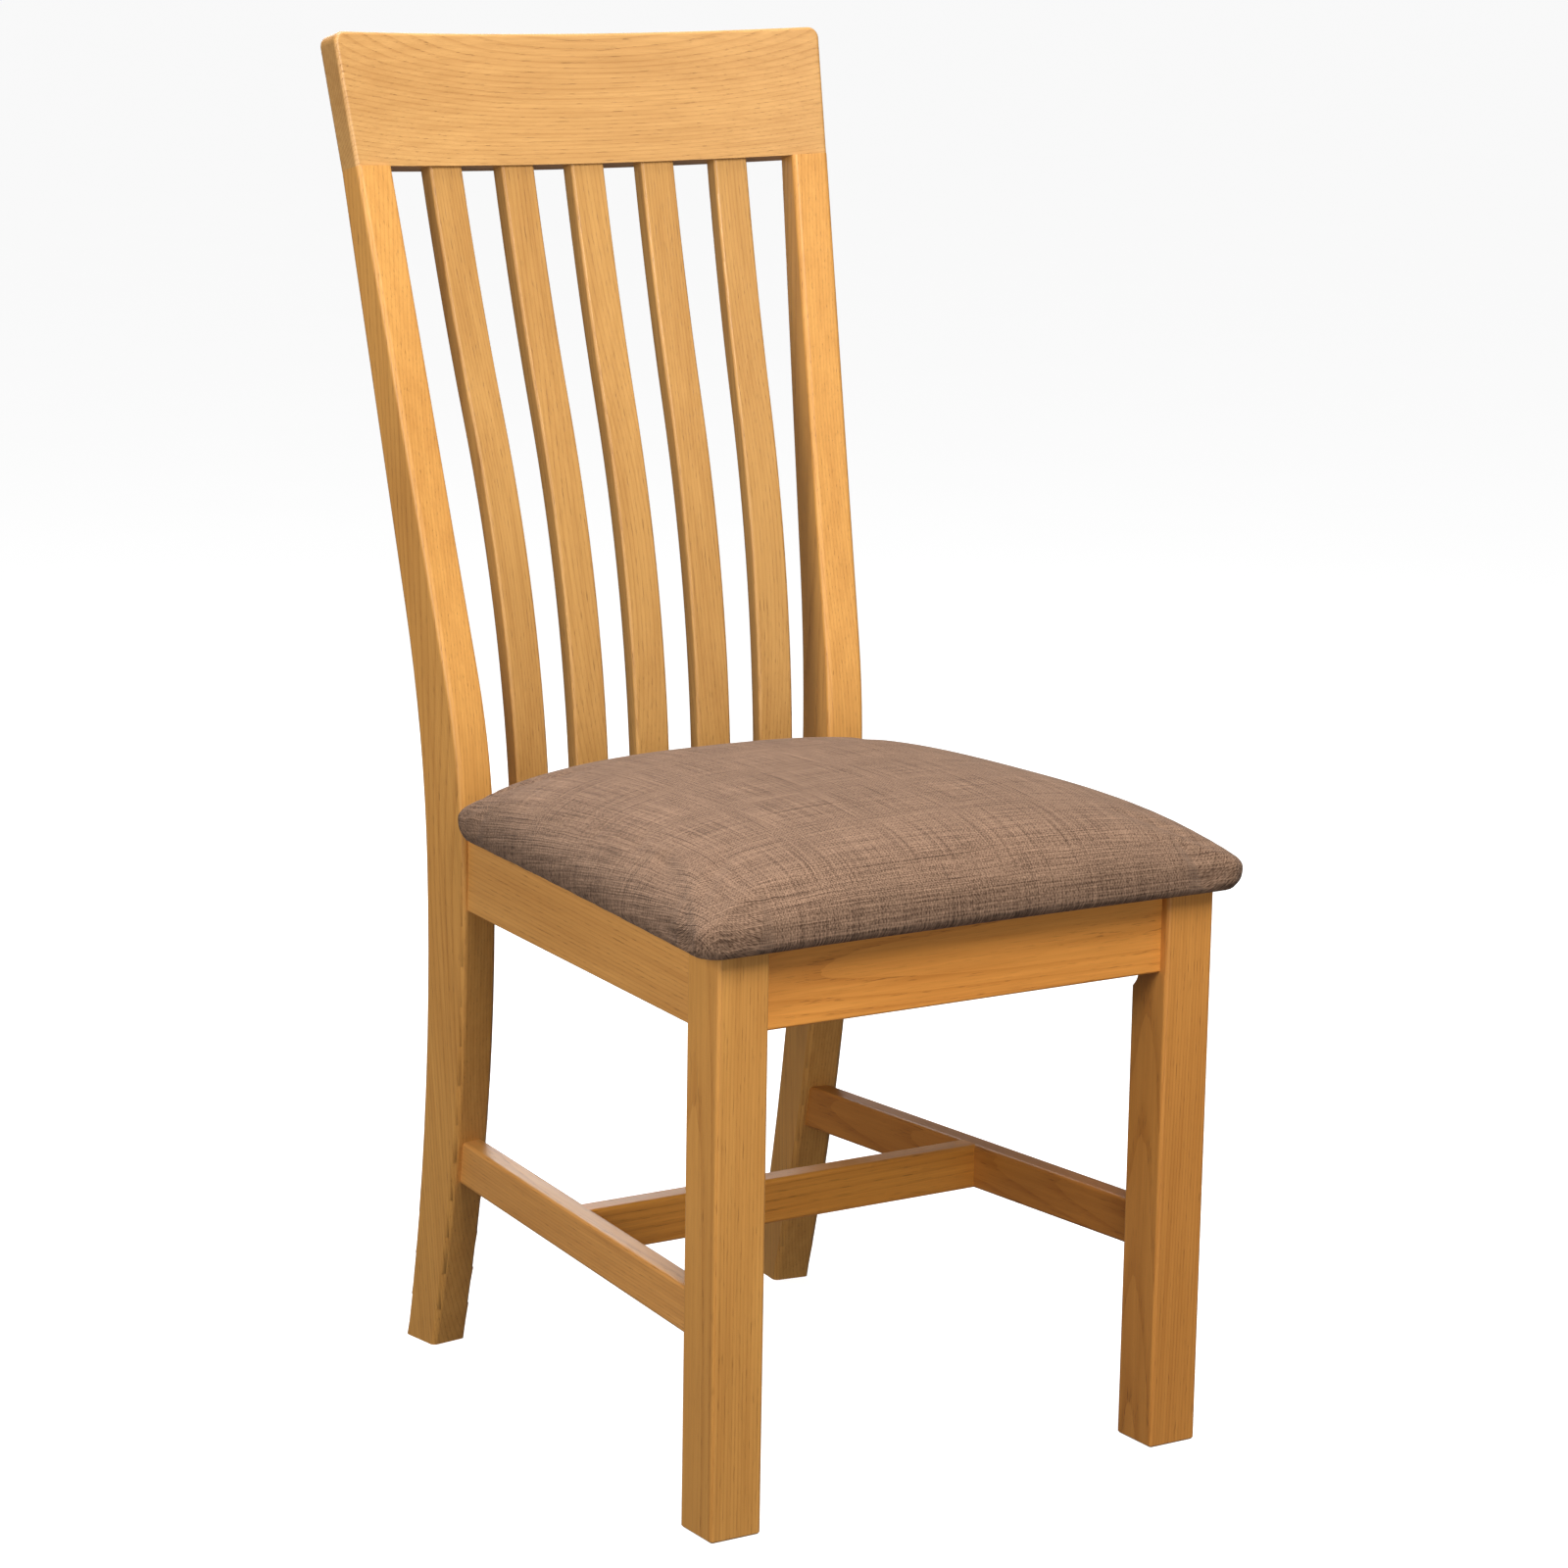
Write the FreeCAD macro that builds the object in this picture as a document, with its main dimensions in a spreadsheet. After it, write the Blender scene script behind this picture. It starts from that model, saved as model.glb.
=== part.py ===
"""Slat-back dining chair with an upholstered seat pad. FreeCAD macro, millimetres.

Frame of reference: Z up from the floor, X across the chair (positive on the right, seen from
the front), Y from the front to the back. The origin is on the floor, in the middle of the
chair's outer box. The frame is oak, joined with stub tenons; every left-hand piece is the
mirror image of its right-hand one.
"""
import FreeCAD, Part
import math
import os

from FreeCAD import Placement, Rotation, Vector

X_AXIS, Y_AXIS, Z_AXIS = Vector(1, 0, 0), Vector(0, 1, 0), Vector(0, 0, 1)

# ---------------------------------------------------------------- driving dimensions

DIMENSIONS = [
    ("front_face", -294.8, "Y of the front legs' front faces"),
    ("frame_width", 435.0, "over the front legs"),
    ("leg_section", 42.5, "front leg, square"),
    ("leg_easing", 3.0, "rounding of the front legs' edges"),
    ("foot_chamfer", 1.5, "round the front legs' feet"),
    ("seat_rail_top", 431.0, "height of the seat rails and front legs"),
    ("seat_rail_height", 60.5, "seat rails, top to bottom"),
    ("front_rail_thick", 22.0, ""),
    ("front_rail_recess", 8.0, "behind the front legs' faces"),
    ("side_rail_thick", 20.0, ""),
    ("side_rail_recess", 6.5, "inside the front legs' outer faces"),
    ("side_rail_rear", 181.0, "outer face at the back leg, from the centre line"),
    ("rear_rail_thick", 23.0, ""),
    ("rear_rail_front", 437.5, "front face, behind the front legs' faces"),
    ("rear_rail_half", 170.0, "half its length over the tenons"),
    ("rear_tenon_shift", 1.5, "its tenons, behind the middle of its thickness"),
    ("rail_easing", 2.0, ""),
    ("stretcher_height", 35.5, ""),
    ("stretcher_bottom", 142.5, "above the floor"),
    ("stretcher_thick", 18.5, "side stretchers"),
    ("stretcher_recess", 4.5, "inside the front legs' outer faces"),
    ("stretcher_rear", 173.5, "outer face at the back leg, from the centre line"),
    ("stretcher_rear_face", 450.5, "where the side stretchers meet the back legs"),
    ("cross_stretcher_thick", 20.0, ""),
    ("cross_stretcher_front", 239.3, "behind the front legs' faces"),
    ("cross_stretcher_half", 183.0, "half its length over the tenons"),
    ("stretcher_easing", 3.0, ""),
    ("back_leg_thick", 32.0, "across the chair"),
    ("back_leg_foot", 173.3, "outer face at the floor, below the waist, from the centre line"),
    ("back_leg_waist", 426.2, "frontmost line of the back legs, behind the front legs' faces"),
    ("back_leg_toe_in", 7.1, "degrees that the back legs face inwards"),
    ("back_leg_lean", 1.75, "degrees that they lean outwards"),
    ("back_leg_easing", 4.2, ""),
    ("front_waist_height", 424.7, "front edge: the height where it is upright"),
    ("front_foot_angle", 15.2, "front edge: degrees off upright at the floor"),
    ("front_bend", 514.0, "front edge: radius above the waist"),
    ("front_rake", 14.55, "front edge: degrees off upright at the top"),
    ("rear_waist_depth", 51.3, "back leg's depth at the waist"),
    ("rear_waist_height", 404.5, "rear edge: the height where it is upright"),
    ("rear_foot_angle", 12.5, ""),
    ("rear_bend", 963.0, ""),
    ("rear_rake", 11.85, ""),
    ("crest_front", 556.5, "crest rail's front lower edge in the middle, behind the front faces"),
    ("crest_bottom", 935.7, "its height there"),
    ("crest_height", 105.0, "measured up the rake"),
    ("crest_thick", 23.5, ""),
    ("crest_rake", 15.0, "degrees off upright"),
    ("crest_radius", 1375.0, "plan curve, hollow towards the front"),
    ("crest_corner", 9.0, "rounding of the upper corners"),
    ("crest_easing", 3.0, ""),
    ("slat_width", 30.0, ""),
    ("slat_thick", 15.0, ""),
    ("slat_easing", 2.2, ""),
    ("slat_front", 444.5, "front face at the seat rail's top, behind the front faces"),
    ("slat_low_angle", 2.6, "degrees off upright there"),
    ("slat_low_bend", 1144.0, "radius of the lower curve"),
    ("slat_low_rise", 317.3, "height of the lower curve"),
    ("slat_high_bend", 2180.0, "radius of the upper, opposite curve"),
    ("slat_high_rise", 215.0, "height of the upper curve"),
    ("inner_slat_low", 56.4, "inner slats, centre line at the seat rail"),
    ("inner_slat_high", 64.4, "inner slats, centre line at the crest rail"),
    ("outer_slat_low", 112.5, "outer slats, centre line at the seat rail"),
    ("outer_slat_high", 131.2, "outer slats, centre line at the crest rail"),
    ("rail_tenon_height", 42.0, ""),
    ("rail_tenon_thick", 9.0, ""),
    ("rail_tenon_length", 17.0, ""),
    ("stretcher_tenon_height", 24.0, ""),
    ("stretcher_tenon_thick", 8.0, ""),
    ("stretcher_tenon_length", 11.0, ""),
    ("slat_tenon_width", 22.0, ""),
    ("slat_tenon_thick", 8.0, ""),
    ("slat_tenon_length", 12.0, ""),
    ("glue_gap", 0.1, "round each tenon"),
    ("mortise_end_gap", 1.0, "beyond each tenon's end"),
    ("corner_flat", 6.4, "depth of the flat on the front legs' inner corners"),
    ("corner_runout", 25.0, "radius at the flat's lower end"),
    ("corner_block_height", 42.0, ""),
    ("front_block_depth", 22.0, ""),
    ("rear_block_depth", 40.0, ""),
    ("block_clearance", 0.3, "between a corner block and its leg"),
    ("rear_seat_screw_inset", 144.0, "from the centre line"),
    ("rear_seat_screw_set", 402.0, "behind the front legs' faces"),
    ("screw_radius", 2.0, ""),
    ("screw_head_radius", 4.0, ""),
    ("screw_head_height", 2.6, ""),
    ("block_screw_length", 25.0, ""),
    ("seat_screw_length", 40.0, ""),
    ("screw_seat_depth", 9.0, "wood between a block screw's head and its rail"),
    ("seat_screw_bite", 9.0, "how far a seat screw reaches above the rails"),
    ("dowel_radius", 4.0, ""),
    ("dowel_length", 36.0, ""),
    ("pad_front_half", 238.5, "half width of the seat pad at the front"),
    ("pad_rear_half", 194.5, "half width at the back"),
    ("pad_front_overhang", 16.0, "in front of the front legs' faces"),
    ("pad_rear", 424.0, "rear edge, behind the front legs' faces"),
    ("pad_corner", 20.0, "corner radius in plan"),
    ("pad_height", 77.0, "crown above the seat rails"),
    ("pad_crown_radius", 1150.0, ""),
    ("pad_edge_rounding", 15.0, ""),
    ("lining_thick", 0.6, "dust cover under the seat board"),
    ("cover_thick", 1.2, "seat fabric"),
    ("hem_width", 28.0, "fabric turned under the seat board"),
    ("board_thick", 12.0, ""),
    ("board_inset", 9.0, "seat board inside the cover"),
    ("lining_inset", 14.0, "dust cover inside the seat's outline"),
]

doc = FreeCAD.newDocument("dining_chair")
sheet = doc.addObject("Spreadsheet::Sheet", "dims")
for row, (alias, value, note) in enumerate(DIMENSIONS, 1):
    sheet.set(f"A{row}", alias)
    sheet.set(f"B{row}", str(value))
    sheet.set(f"C{row}", note)
    sheet.setAlias(f"B{row}", alias)
doc.recompute()


def dim(alias):
    """A driving dimension as a plain number."""
    return float(sheet.get(alias))


def at(x, y, z):
    """A point from the centre line, the front legs' faces and the floor."""
    return Vector(x, y + dim("front_face"), z)


half_width = dim("frame_width") / 2
rail_bottom = dim("seat_rail_top") - dim("seat_rail_height")

# ---------------------------------------------------------------- building blocks


def origin_plane(body, role):
    return next(f for f in body.Origin.OriginFeatures if f.Role == role)


def new_sketch(body, name, role):
    sketch = body.newObject("Sketcher::SketchObject", name)
    sketch.AttachmentSupport = [(origin_plane(body, role), "")]
    sketch.MapMode = "FlatFace"
    return sketch


def new_body(name, frame):
    body = doc.addObject("PartDesign::Body", name)
    body.Placement = frame
    return body


def close_outline(sketch, count):
    """Join the ends of consecutive edges, each drawn from its point 1 to its point 2."""
    from Sketcher import Constraint
    for index in range(count):
        sketch.addConstraint(Constraint("Coincident", index, 2, (index + 1) % count, 1))


def rectangle(sketch, corner, width, height):
    """A rectangle whose width and height are bound to the sheet."""
    from Sketcher import Constraint
    x0, y0 = corner
    x1, y1 = x0 + dim(width), y0 + dim(height)
    corners = [Vector(x0, y0), Vector(x1, y0), Vector(x1, y1), Vector(x0, y1)]
    for start, end in zip(corners, corners[1:] + corners[:1]):
        sketch.addGeometry(Part.LineSegment(start, end))
    close_outline(sketch, 4)
    for edge in (0, 2):
        sketch.addConstraint(Constraint("Horizontal", edge))
    for edge in (1, 3):
        sketch.addConstraint(Constraint("Vertical", edge))
    across = sketch.addConstraint(Constraint("DistanceX", 0, 1, 0, 2, x1 - x0))
    up = sketch.addConstraint(Constraint("DistanceY", 1, 1, 1, 2, y1 - y0))
    sketch.addConstraint(Constraint("DistanceX", -1, 1, 0, 1, x0))
    sketch.addConstraint(Constraint("DistanceY", -1, 1, 0, 1, y0))
    sketch.setExpression(f"Constraints[{across}]", f"dims.{width}")
    sketch.setExpression(f"Constraints[{up}]", f"dims.{height}")


def polygon(sketch, points):
    for start, end in zip(points, points[1:] + points[:1]):
        sketch.addGeometry(Part.LineSegment(start, end))
    close_outline(sketch, len(points))


def pad(body, sketch, length, backwards=False):
    """Pad a sketch by a length given as an expression."""
    feature = body.newObject("PartDesign::Pad", body.Name + "_pad")
    feature.Profile = sketch
    feature.Reversed = backwards
    feature.setExpression("Length", length)
    doc.recompute()
    return feature


def ease(body, feature, radius, chosen):
    """Round the edges of a feature that chosen(edge) picks."""
    names = [f"Edge{i}" for i, edge in enumerate(feature.Shape.Edges, 1) if chosen(edge)]
    fillet = body.newObject("PartDesign::Fillet", body.Name + "_easing")
    fillet.Base = (feature, names)
    fillet.setExpression("Radius", f"dims.{radius}")
    doc.recompute()
    return fillet


def runs_along(axis):
    """Straight edges that run along an axis of the body."""
    def chosen(edge):
        return isinstance(edge.Curve, Part.Line) and abs(edge.Curve.Direction.dot(axis)) > 0.999
    return chosen


def bar(name, frame, length, height, thick, easing):
    """A straight bar: length along local X, thickness along Y, height along Z."""
    body = new_body(name, frame)
    sketch = new_sketch(body, name + "_section", "YZ_Plane")
    rectangle(sketch, (0.0, 0.0), thick, height)
    ease(body, pad(body, sketch, str(length)), easing, runs_along(X_AXIS))
    return body


def box(name, frame, corner, size):
    """A Part box at a corner of a local frame; each size is a number or an expression."""
    item = doc.addObject("Part::Box", name)
    for side, value in zip(("Length", "Width", "Height"), size):
        if isinstance(value, str):
            item.setExpression(side, value)
        else:
            setattr(item, side, value)
    item.Placement = frame.multiply(Placement(Vector(*corner), Rotation()))
    return item


def cylinder(name, frame, radius, height):
    """A Part cylinder along local Z; radius and height are expressions."""
    item = doc.addObject("Part::Cylinder", name)
    item.setExpression("Radius", radius)
    item.setExpression("Height", height)
    item.Placement = frame
    return item


def group(name, items):
    compound = doc.addObject("Part::Compound", name)
    compound.Links = items
    return compound


def cut(name, base, tools):
    item = doc.addObject("Part::Cut", name)
    item.Base = base
    item.Tool = tools[0] if len(tools) == 1 else group(name + "_tools", tools)
    return item


def fuse(name, items):
    item = doc.addObject("Part::MultiFuse", name)
    item.Shapes = items
    return item


def round_edges(name, base, radius, chosen):
    """A Part fillet on the edges of a finished shape that chosen(edge) picks."""
    item = doc.addObject("Part::Fillet", name)
    item.Base = base
    size = dim(radius)
    item.Edges = [(i, size, size) for i, edge in enumerate(base.Shape.Edges, 1) if chosen(edge)]
    doc.recompute()
    return item


def mirror(name, source):
    item = doc.addObject("Part::Mirroring", name)
    item.Source = source
    item.Normal = X_AXIS
    return item


def tenon(name, frame, corner, kind, length, direction=1):
    """A tenon and the mortise cutter that fits it.

    The tenon starts at a corner of the local frame and runs along local X. Its thickness is
    along Y and its height along Z. The part of its length that lies inside its own member is
    fused there; direction says which end points into the mortise.
    """
    thick, height = dim(kind + "_tenon_thick"), dim(kind + "_tenon_height")
    gap, bottom_gap = dim("glue_gap"), dim("mortise_end_gap")
    solid = box(name, frame, corner, (length, f"dims.{kind}_tenon_thick", f"dims.{kind}_tenon_height"))
    start = corner[0] - (bottom_gap if direction < 0 else 0.0)
    hole = box(name + "_mortise", frame, (start, corner[1] - gap, corner[2] - gap),
               (length + bottom_gap, thick + 2 * gap, height + 2 * gap))
    return solid, hole


# ---------------------------------------------------------------- legs


def front_leg_blank():
    """Square leg with eased edges, and the router cut on its inner rear corner."""
    frame = Placement(at(half_width, 0, 0), Rotation())
    body = new_body("front_leg_body", frame)
    sketch = new_sketch(body, "front_leg_section", "XY_Plane")
    rectangle(sketch, (-dim("leg_section"), 0.0), "leg_section", "leg_section")
    upright = ease(body, pad(body, sketch, "dims.seat_rail_top"), "leg_easing", runs_along(Z_AXIS))
    foot = next(f"Face{i}" for i, face in enumerate(upright.Shape.Faces, 1)
                if face.BoundBox.ZMax < 0.001)
    chamfer = body.newObject("PartDesign::Chamfer", "front_leg_foot")
    chamfer.Base = (upright, [foot])
    chamfer.setExpression("Size", "dims.foot_chamfer")
    inner_corner = at(half_width - dim("leg_section"), dim("leg_section"), 0)
    diagonal = Placement(inner_corner, Rotation(Z_AXIS, -45))
    start = rail_bottom - 2.0
    depth, radius = dim("corner_flat"), dim("corner_runout")
    flat = box("corner_flat_cutter", diagonal, (depth - radius, -20, start),
               (radius, 40, dim("seat_rail_top") - start + 5))
    across = Placement(Vector(depth - radius, 20, start), Rotation(X_AXIS, 90))
    runout = cylinder("corner_runout_cutter", diagonal.multiply(across), "dims.corner_runout", "40")
    return cut("front_leg_blank", body, [fuse("corner_cutter", [flat, runout])])


back_leg_frame = Placement(at(dim("back_leg_foot"), dim("back_leg_waist"), 0),
                           Rotation(Z_AXIS, -dim("back_leg_toe_in")).multiply(
                               Rotation(Y_AXIS, dim("back_leg_lean"))))
crest_frame = Placement(at(0, dim("crest_front"), dim("crest_bottom")),
                        Rotation(X_AXIS, -dim("crest_rake")))


def sabre_edge(waist_depth, waist_height, foot_angle, bend, rake, low, high):
    """One edge of the back leg in its own plane: lower arc, upper arc and straight top.

    Both arcs are upright at the waist. Returns the edge's pieces from the foot to the top.
    """
    foot_angle, rake = math.radians(foot_angle), math.radians(rake)
    lower = waist_height / math.sin(foot_angle)

    def on_lower(height):
        return Vector(waist_depth + lower - math.sqrt(lower**2 - (height - waist_height)**2), height)
    waist = Vector(waist_depth, waist_height)
    bend_middle = Vector(waist_depth + bend * (1 - math.cos(rake / 2)),
                         waist_height + bend * math.sin(rake / 2))
    bend_end = Vector(waist_depth + bend * (1 - math.cos(rake)), waist_height + bend * math.sin(rake))
    top = Vector(bend_end.x + (high - bend_end.y) * math.tan(rake), high)
    return [Part.Arc(on_lower(low), on_lower((low + waist_height) / 2), waist),
            Part.Arc(waist, bend_middle, bend_end),
            Part.LineSegment(bend_end, top)]


def outline(sketch, front, rear):
    """A closed outline from a front edge and a rear edge, each listed from the bottom up."""
    front_ends = (front[0].StartPoint, front[-1].EndPoint)
    rear_ends = (rear[0].StartPoint, rear[-1].EndPoint)
    sketch.addGeometry(front + [Part.LineSegment(front_ends[1], rear_ends[1])] + rear
                       + [Part.LineSegment(rear_ends[0], front_ends[0])])


def back_leg_edges(low, high):
    """The back leg's front and rear edges between two heights."""
    front = sabre_edge(0.0, dim("front_waist_height"), dim("front_foot_angle"),
                       dim("front_bend"), dim("front_rake"), low, high)
    rear = sabre_edge(dim("rear_waist_depth"), dim("rear_waist_height"), dim("rear_foot_angle"),
                      dim("rear_bend"), dim("rear_rake"), low, high)
    return front, rear


def back_leg_blank():
    """Sabre-shaped leg cut from a plank, then toed in and leaned outwards."""
    front, rear = back_leg_edges(-20.0, 990.0)
    body = new_body("back_leg_body", back_leg_frame)
    sketch = new_sketch(body, "back_leg_side", "YZ_Plane")
    outline(sketch, front, rear)
    pad(body, sketch, "dims.back_leg_thick", backwards=True)
    floor = box("floor_space", Placement(), (-400, -600, -60), (800, 1400, 60))
    over = box("crest_space", crest_frame, (-400, -100, 0), (800, 200, 300))
    sawn = cut("back_leg_sawn", body, [floor, over])
    doc.recompute()

    def long_edge(edge):
        return edge.BoundBox.ZLength > 50
    return round_edges("back_leg_blank", sawn, "back_leg_easing", long_edge)


# ---------------------------------------------------------------- rails and stretchers


def converging_frame(front_x, front_y, rear_x, rear_y, height):
    """A right-hand member from the front leg to the back leg: local X runs rearwards along its
    outer face and local Y points inwards."""
    start, end = at(front_x, front_y, height), at(rear_x, rear_y, height)
    heading = math.degrees(math.atan2(end.y - start.y, end.x - start.x))
    return Placement(start, Rotation(Z_AXIS, heading)), (end - start).Length


side_rail_frame, side_rail_length = converging_frame(
    half_width - dim("side_rail_recess"), dim("leg_section"),
    dim("side_rail_rear"), dim("back_leg_waist"), rail_bottom)
stretcher_frame, stretcher_length = converging_frame(
    half_width - dim("stretcher_recess"), dim("leg_section"),
    dim("stretcher_rear"), dim("stretcher_rear_face"), dim("stretcher_bottom"))


def moved(frame, x, y=0.0, z=0.0):
    return frame.multiply(Placement(Vector(x, y, z), Rotation()))


def middle(total, kind, way):
    """Where a centred tenon starts across a member."""
    return (dim(total) - dim(f"{kind}_tenon_{way}")) / 2


OVERRUN = 14.0      # how far a bar's blank runs into a leg before it is trimmed
ROOTED = 12.0       # how much of a tenon's length lies inside its own member


# ---------------------------------------------------------------- seat pad


def pad_outline(sketch, inset):
    """Seat outline: a trapezium with rounded corners, inset from the cover's outer face."""
    front = -dim("pad_front_overhang") + inset
    rear = dim("pad_rear") - inset
    slope = (dim("pad_front_half") - dim("pad_rear_half")) / (dim("pad_rear") + dim("pad_front_overhang"))

    def half(y):
        return dim("pad_front_half") - inset - slope * (y + dim("pad_front_overhang"))
    corners = [Vector(-half(front), front), Vector(half(front), front),
               Vector(half(rear), rear), Vector(-half(rear), rear)]
    for corner in corners:
        corner.y += dim("front_face")
    radius = dim("pad_corner") - inset / 2
    wire = []
    for i, corner in enumerate(corners):
        before = (corners[i - 1] - corner).normalize()
        after = (corners[(i + 1) % 4] - corner).normalize()
        angle = before.getAngle(after)
        reach = radius / math.tan(angle / 2)
        centre = corner + (before + after).normalize() * (radius / math.sin(angle / 2))
        nearest = centre + (corner - centre).normalize() * radius
        wire.append((corner + before * reach, nearest, corner + after * reach))
    for i, (start, nearest, end) in enumerate(wire):
        sketch.addGeometry(Part.Arc(start, nearest, end))
        sketch.addGeometry(Part.LineSegment(end, wire[(i + 1) % 4][0]))


def slab(name, inset, bottom, thick):
    """A flat plate with the seat's outline."""
    body = new_body(name, Placement(Vector(0, 0, bottom), Rotation()))
    sketch = new_sketch(body, name + "_outline", "XY_Plane")
    pad_outline(sketch, inset)
    pad(body, sketch, thick)
    return body


def crowned(name, inset, bottom, rounding):
    """The seat pad's form, inset all round: a plate under a shallow dome, edges rounded."""
    plate = slab(name + "_plate", inset, bottom, "100")
    dome = doc.addObject("Part::Sphere", name + "_dome")
    dome.Radius = dim("pad_crown_radius") - inset
    middle_y = (dim("pad_rear") - dim("pad_front_overhang")) / 2
    top = dim("seat_rail_top") + dim("pad_height")
    dome.Placement = Placement(at(0, middle_y, top - dim("pad_crown_radius")), Rotation())
    form = doc.addObject("Part::Common", name + "_form")
    form.Base, form.Tool = plate, dome
    doc.recompute()
    rim = [i for i, edge in enumerate(form.Shape.Edges, 1)
           if edge.BoundBox.ZMin > bottom + 5 and edge.BoundBox.ZLength < 30]
    soft = doc.addObject("Part::Fillet", name)
    soft.Base = form
    soft.Edges = [(i, rounding, rounding) for i in rim]
    doc.recompute()
    return soft


pieces = {}


def keep(node, item):
    """Name a finished sub-part."""
    item.Label = node
    pieces[node] = item


def build_frame():
    front_blank, back_blank = front_leg_blank(), back_leg_blank()
    back_blank_left = mirror("back_leg_blank_left", back_blank)
    doc.recompute()

    # side seat rails
    rail_y = middle("side_rail_thick", "rail", "thick")
    rail_z = middle("seat_rail_height", "rail", "height")
    reach = dim("rail_tenon_length")
    side_blank = bar("side_rail_bar", moved(side_rail_frame, -OVERRUN),
                     side_rail_length + 2 * OVERRUN, "seat_rail_height", "side_rail_thick", "rail_easing")
    side_trimmed = cut("side_rail_trimmed", side_blank, [front_blank, back_blank])
    side_front, side_front_hole = tenon("side_rail_front_tenon", side_rail_frame,
                                        (-reach, rail_y, rail_z), "rail", reach + ROOTED, -1)
    side_rear, side_rear_hole = tenon("side_rail_rear_tenon", side_rail_frame,
                                      (side_rail_length - ROOTED, rail_y, rail_z), "rail", reach + ROOTED - 2)
    side_rail = fuse("side_rail_solid", [side_trimmed, side_front, side_rear])

    # front seat rail
    inner = half_width - dim("leg_section")
    front_frame = Placement(at(-inner, dim("front_rail_recess"), rail_bottom), Rotation())
    front_y = middle("front_rail_thick", "rail", "thick")
    front_bar = bar("front_rail_bar", front_frame, 2 * inner, "seat_rail_height", "front_rail_thick",
                    "rail_easing")
    front_left, _ = tenon("front_rail_left_tenon", front_frame, (-reach, front_y, rail_z),
                          "rail", reach + ROOTED, -1)
    front_right, front_hole = tenon("front_rail_right_tenon", front_frame,
                                    (2 * inner - ROOTED, front_y, rail_z), "rail", reach + ROOTED)
    front_rail = fuse("front_rail_solid", [front_bar, front_left, front_right])

    # rear seat rail, between the back legs
    rear_half = dim("rear_rail_half")
    rear_frame = Placement(at(-rear_half, dim("rear_rail_front"), rail_bottom), Rotation())
    rear_y = middle("rear_rail_thick", "rail", "thick") + dim("rear_tenon_shift")
    rear_bar = bar("rear_rail_bar", rear_frame, 2 * rear_half, "seat_rail_height", "rear_rail_thick",
                   "rail_easing")
    rear_trimmed = cut("rear_rail_trimmed", rear_bar, [back_blank, back_blank_left])
    rear_left, _ = tenon("rear_rail_left_tenon", rear_frame, (0.0, rear_y, rail_z), "rail", 40.0, -1)
    rear_right, rear_hole = tenon("rear_rail_right_tenon", rear_frame,
                                  (2 * rear_half - 40.0, rear_y, rail_z), "rail", 40.0)
    rear_rail = fuse("rear_rail_solid", [rear_trimmed, rear_left, rear_right])

    # stretchers: two side members and a cross member, flush on top
    str_y = middle("stretcher_thick", "stretcher", "thick")
    str_z = middle("stretcher_height", "stretcher", "height")
    str_reach = dim("stretcher_tenon_length")
    str_blank = bar("side_stretcher_bar", moved(stretcher_frame, -OVERRUN),
                    stretcher_length + 2 * OVERRUN, "stretcher_height", "stretcher_thick",
                    "stretcher_easing")
    str_trimmed = cut("side_stretcher_trimmed", str_blank, [front_blank, back_blank])
    str_front, str_front_hole = tenon("side_stretcher_front_tenon", stretcher_frame,
                                      (-str_reach, str_y, str_z), "stretcher", str_reach + ROOTED, -1)
    str_rear, str_rear_hole = tenon("side_stretcher_rear_tenon", stretcher_frame,
                                    (stretcher_length - ROOTED, str_y, str_z), "stretcher",
                                    str_reach + ROOTED)
    side_plain = fuse("side_stretcher_plain", [str_trimmed, str_front, str_rear])
    side_plain_left = mirror("side_stretcher_plain_left", side_plain)

    cross_half = dim("cross_stretcher_half")
    cross_frame = Placement(at(-cross_half, dim("cross_stretcher_front"), dim("stretcher_bottom")),
                            Rotation())
    cross_y = middle("cross_stretcher_thick", "stretcher", "thick")
    cross_bar = bar("cross_stretcher_bar", cross_frame, 2 * cross_half, "stretcher_height",
                    "cross_stretcher_thick", "stretcher_easing")
    cross_trimmed = cut("cross_stretcher_trimmed", cross_bar, [side_plain, side_plain_left])
    cross_left, _ = tenon("cross_left_tenon", cross_frame, (0.0, cross_y, str_z), "stretcher", 25.0, -1)
    cross_right, cross_hole = tenon("cross_right_tenon", cross_frame,
                                    (2 * cross_half - 25.0, cross_y, str_z), "stretcher", 25.0)
    cross = fuse("cross_stretcher_solid", [cross_trimmed, cross_left, cross_right])
    keep("cross_stretcher", cross)
    side_stretcher = cut("side_stretcher_solid", side_plain, [cross_hole])
    keep("side_stretcher_right", side_stretcher)
    keep("side_stretcher_left", mirror("side_stretcher_mirrored", side_stretcher))

    return dict(front_blank=front_blank, back_blank=back_blank, side_rail=side_rail,
                front_rail=front_rail, rear_rail=rear_rail,
                front_leg_holes=[side_front_hole, front_hole, str_front_hole],
                back_leg_holes=[side_rear_hole, rear_hole, str_rear_hole])


# ---------------------------------------------------------------- slats and crest rail


def slat_line(rise):
    """The slat's front line in its own plane: its angle off upright and its point at a height
    above the seat rail. A lower arc bends it back and an upper one brings it forward again."""
    low_bend, high_bend = dim("slat_low_bend"), dim("slat_high_bend")
    start, joint_rise = math.radians(dim("slat_low_angle")), dim("slat_low_rise")
    angle = math.asin(math.sin(start) + min(rise, joint_rise) / low_bend)
    point = Vector(low_bend * (math.cos(start) - math.cos(angle)), min(rise, joint_rise))
    if rise <= joint_rise:
        return angle, point
    turn, joint = angle, point
    angle = math.asin(math.sin(turn) - (rise - joint_rise) / high_bend)
    return angle, Vector(joint.x + high_bend * (math.cos(angle) - math.cos(turn)), rise)


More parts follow.
